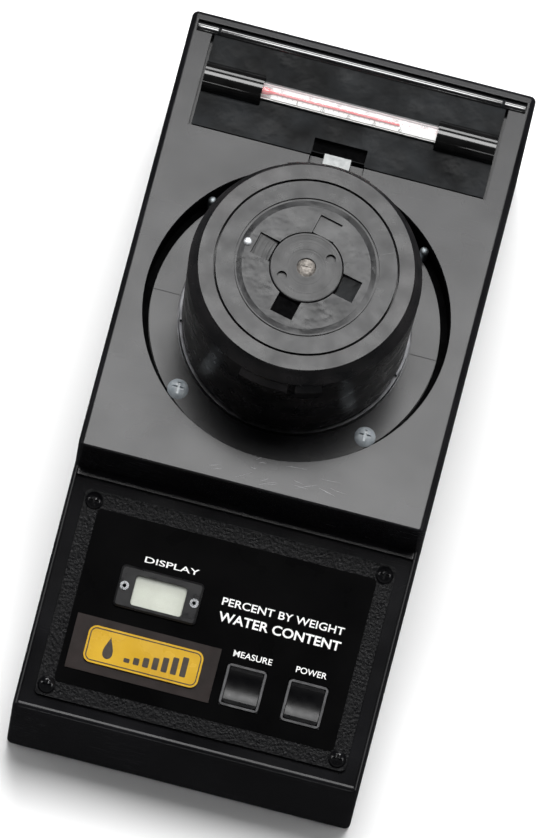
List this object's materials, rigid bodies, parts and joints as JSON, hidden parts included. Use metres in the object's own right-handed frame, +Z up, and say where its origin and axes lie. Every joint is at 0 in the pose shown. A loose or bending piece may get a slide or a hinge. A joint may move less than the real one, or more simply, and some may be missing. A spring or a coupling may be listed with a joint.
{
  "type": "grain moisture meter",
  "caption": "Bench meter for grain moisture: black moulded case, sloped panel with display and push keys, screw-capped test cell in a recess, hinged lid carrying a thermometer.",
  "frame": {"origin": "under the middle of the case, on the surface the feet stand on", "axes": "+X across the case, +Y along it from the control panel to the hinged lid, +Z up"},
  "size_m": [0.13, 0.263, 0.1471],
  "materials": {
    "case_plastic": "satin black moulding",
    "lid_plastic": "semi-gloss black moulding",
    "cap_plastic": "satin black moulding",
    "plate_paint": "black wrinkle paint",
    "label_film": "smooth black film",
    "backing_film": "matt brown-black film",
    "badge_enamel": "gloss amber",
    "black_screw": "gloss black",
    "zinc": "zinc plated",
    "bezel_plastic": "semi-gloss black",
    "window_clear": "clear",
    "display_glass": "pale grey-green",
    "key_frame": "light grey line",
    "key_black": "semi-gloss black",
    "board_green": "solder mask",
    "switch_plastic": "satin",
    "brass": "turned",
    "rubber": "matt black",
    "cell_metal": "turned",
    "nylon": "natural nylon",
    "spring_steel": "drawn wire",
    "tube_glass": "clear",
    "scale_white": "white enamel",
    "spirit_red": "red spirit",
    "catch_grey": "light grey",
    "battery_can": "printed steel can"
  },
  "bodies": {
    "case": {"upper_case": "case_plastic", "base_plate": "case_plastic", "rubber_feet": "rubber", "base_screws": "zinc", "control_plate": "plate_paint", "panel_label": "label_film", "badge_backing": "backing_film", "badge_plate": "badge_enamel", "plate_screws": "black_screw", "display_bezel": "bezel_plastic", "display_window": "window_clear", "bezel_eyelets": "zinc", "display_module": "display_glass", "key_frames": "key_frame", "key_switches": "switch_plastic", "circuit_board": "board_green", "board_standoffs": "brass", "board_screws": "zinc", "cell_flange": "case_plastic", "flange_screws": "zinc", "cell_cup": "cell_metal", "cell_insulator": "nylon", "centre_electrode": "brass", "electrode_nut": "zinc", "hinge_pin": "zinc", "battery_block": "battery_can", "battery_snap": "switch_plastic"},
    "cap_carrier": {"slip_washer": "nylon", "cap_spring": "spring_steel"},
    "cap": {"cap_shell": "cap_plastic", "cap_crown": "cap_plastic", "window_cone": "cap_plastic", "index_pin": "zinc"},
    "indicator": {"indicator_hub": "cap_plastic", "hub_screw": "cap_plastic", "pressure_plate": "cell_metal"},
    "test_key": {"test_keycap": "key_black"},
    "battery_key": {"battery_keycap": "key_black"},
    "lid": {"compartment_lid": "lid_plastic", "thermometer_tube": "tube_glass", "thermometer_sleeves": "rubber", "thermometer_scale": "scale_white", "spirit_column": "spirit_red"},
    "catch": {"catch_tongue": "catch_grey"}
  },
  "joints": [
    {"name": "cap_lift", "type": "slide", "parent": "case", "child": "cap_carrier", "axis": [0, 0, 1], "range_m": [0, 0.016]},
    {"name": "cap_turn", "type": "hinge", "parent": "cap_carrier", "child": "cap", "pos_m": [0, 0.0259, 0.12], "axis": [0, 0, 1], "range_deg": [0, 630]},
    {"name": "indicator_slide", "type": "slide", "parent": "cap_carrier", "child": "indicator", "axis": [0, 0, 1], "range_m": [0, 0.003], "stiffness_N_per_m": 2000, "springref_m": -0.005, "deforming": ["cap_spring"]},
    {"name": "test_key_press", "type": "slide", "parent": "case", "child": "test_key", "axis": [0, 0.2419, -0.9703], "range_m": [0, 0.0015], "stiffness_N_per_m": 500, "springref_m": -0.001},
    {"name": "battery_key_press", "type": "slide", "parent": "case", "child": "battery_key", "axis": [0, 0.2419, -0.9703], "range_m": [0, 0.0015], "stiffness_N_per_m": 500, "springref_m": -0.001},
    {"name": "lid_hinge", "type": "hinge", "parent": "case", "child": "lid", "pos_m": [0, 0.1252, 0.091], "axis": [-1, 0, 0], "range_deg": [0, 105]},
    {"name": "catch_slide", "type": "slide", "parent": "case", "child": "catch", "axis": [0, -1, 0], "range_m": [0, 0.001], "stiffness_N_per_m": 1500, "springref_m": -0.001}
  ],
  "couplings": [
    {"joint": "cap_lift", "follows": "cap_turn", "m_per_rad": 0.0014324}
  ]
}
